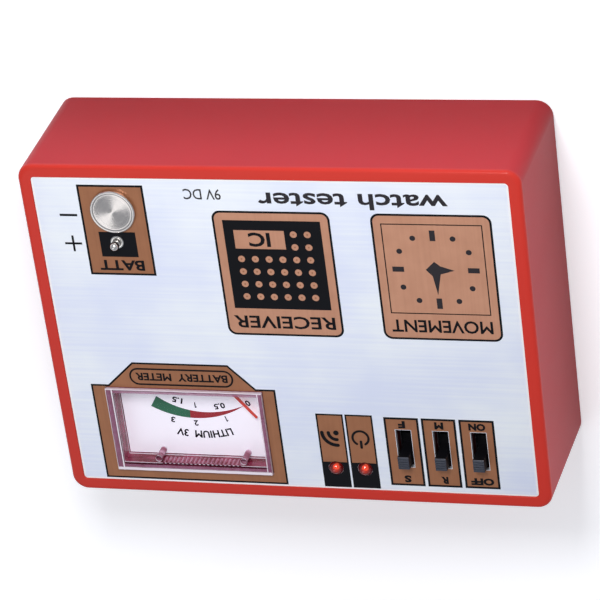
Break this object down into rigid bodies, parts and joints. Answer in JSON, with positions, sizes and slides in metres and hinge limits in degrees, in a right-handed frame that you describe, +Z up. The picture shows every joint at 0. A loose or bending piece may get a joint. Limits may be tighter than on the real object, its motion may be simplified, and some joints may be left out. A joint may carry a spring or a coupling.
{
  "type": "quartz watch tester and movement driver",
  "caption": "Low tapered box with a metal top plate carrying slide switches, indicator lamps, a battery meter window, and a disc and pin for testing button cells.",
  "frame": {"origin": "centre of the base, on the surface that the tester stands on", "axes": "+X along the reading direction of the labels, +Y away from the user, +Z up"},
  "size_m": [0.1068, 0.08, 0.0328],
  "materials": {
    "red_plastic": "moulded, satin gloss",
    "red_cover_plastic": "moulded, fine texture",
    "panel_metal": "brushed, with printed labels",
    "clear_plastic": "clear moulded",
    "black_plastic": "moulded",
    "dial_white": "printed white enamel",
    "needle_red": "lacquered",
    "plain_aluminium": "satin",
    "copper_wire": "enamelled copper winding",
    "steel": "zinc plated",
    "soft_iron": "machined",
    "brass": "turned",
    "spring_bronze": "rolled strip",
    "tinned": "tinned wire",
    "phenolic": "pressed board",
    "lamp_red": "red tinted epoxy",
    "contact_metal": "turned, nickel plated",
    "white_nylon": "moulded",
    "board_green": "glass-epoxy board with solder mask",
    "chip_black": "moulded epoxy",
    "capacitor_sleeve": "shrunk sleeve",
    "resistor_beige": "lacquered, colour bands",
    "trimmer_blue": "moulded",
    "ferrite": "sintered",
    "battery_jacket": "lithographed sleeve",
    "wire_insulation": "extruded insulation"
  },
  "bodies": {
    "root": {"case_shell": "red_plastic", "base_cover": "red_cover_plastic", "cover_screws": "steel", "front_panel": "panel_metal", "meter_cover": "clear_plastic", "meter_base": "black_plastic", "dial_plate": "dial_white", "movement_screws": "brass", "jewel_screws": "brass", "meter_yoke": "soft_iron", "core_magnet": "soft_iron", "core_supports": "brass", "top_bridge": "brass", "hairsprings": "spring_bronze", "meter_terminals": "brass", "small_screws": "steel", "power_switch_frame": "steel", "mode_switch_frame": "steel", "speed_switch_frame": "steel", "switch_bases": "phenolic", "switch_terminals": "tinned", "power_led": "lamp_red", "signal_led": "lamp_red", "led_leads": "tinned", "negative_disc": "contact_metal", "disc_bush": "white_nylon", "positive_pin": "contact_metal", "pin_eyelet": "contact_metal", "contact_nuts": "contact_metal", "contact_lugs": "brass", "main_board": "board_green", "board_chips": "chip_black", "electrolytic_capacitors": "capacitor_sleeve", "ceramic_capacitors": "capacitor_sleeve", "resistors": "resistor_beige", "transistors": "chip_black", "trimmer_body": "trimmer_blue", "drive_coil_bobbin": "white_nylon", "drive_coil_winding": "copper_wire", "pickup_bobbin": "white_nylon", "pickup_winding": "copper_wire", "ferrite_rod": "ferrite", "battery": "battery_jacket", "battery_snap": "black_plastic", "battery_wires": "wire_insulation", "meter_wires": "wire_insulation", "contact_wires": "wire_insulation", "coil_wires": "wire_insulation"},
    "power_slider": {"power_slider": "black_plastic", "power_contact_spring": "spring_bronze"},
    "mode_slider": {"mode_slider": "black_plastic", "mode_contact_spring": "spring_bronze"},
    "speed_slider": {"speed_slider": "black_plastic", "speed_contact_spring": "spring_bronze"},
    "needle": {"needle": "needle_red", "coil_former": "plain_aluminium", "moving_coil": "copper_wire", "pivot_shafts": "steel"},
    "battery_door": {"battery_door": "red_cover_plastic"},
    "trimmer_rotor": {"trimmer_rotor": "white_nylon"}
  },
  "joints": [
    {"name": "power_slider_travel", "type": "slide", "parent": "root", "child": "power_slider", "axis": [0, -1, 0], "range_m": [0, 0.0044]},
    {"name": "mode_slider_travel", "type": "slide", "parent": "root", "child": "mode_slider", "axis": [0, -1, 0], "range_m": [0, 0.0044]},
    {"name": "speed_slider_travel", "type": "slide", "parent": "root", "child": "speed_slider", "axis": [0, -1, 0], "range_m": [0, 0.0044]},
    {"name": "needle_swing", "type": "hinge", "parent": "root", "child": "needle", "pos_m": [0.0243, 0.004, 0.0235], "axis": [0, 0, -1], "range_deg": [-2, 78], "stiffness_Nm_per_rad": 0.00002},
    {"name": "battery_door_hinge", "type": "hinge", "parent": "root", "child": "battery_door", "pos_m": [0.0469, -0.01835, 0.0011], "axis": [0, -1, 0], "range_deg": [0, 100]},
    {"name": "trimmer_turn", "type": "hinge", "parent": "root", "child": "trimmer_rotor", "pos_m": [-0.003, 0.015, 0.0217], "axis": [0, 0, 1], "range_deg": [-135, 135]}
  ]
}
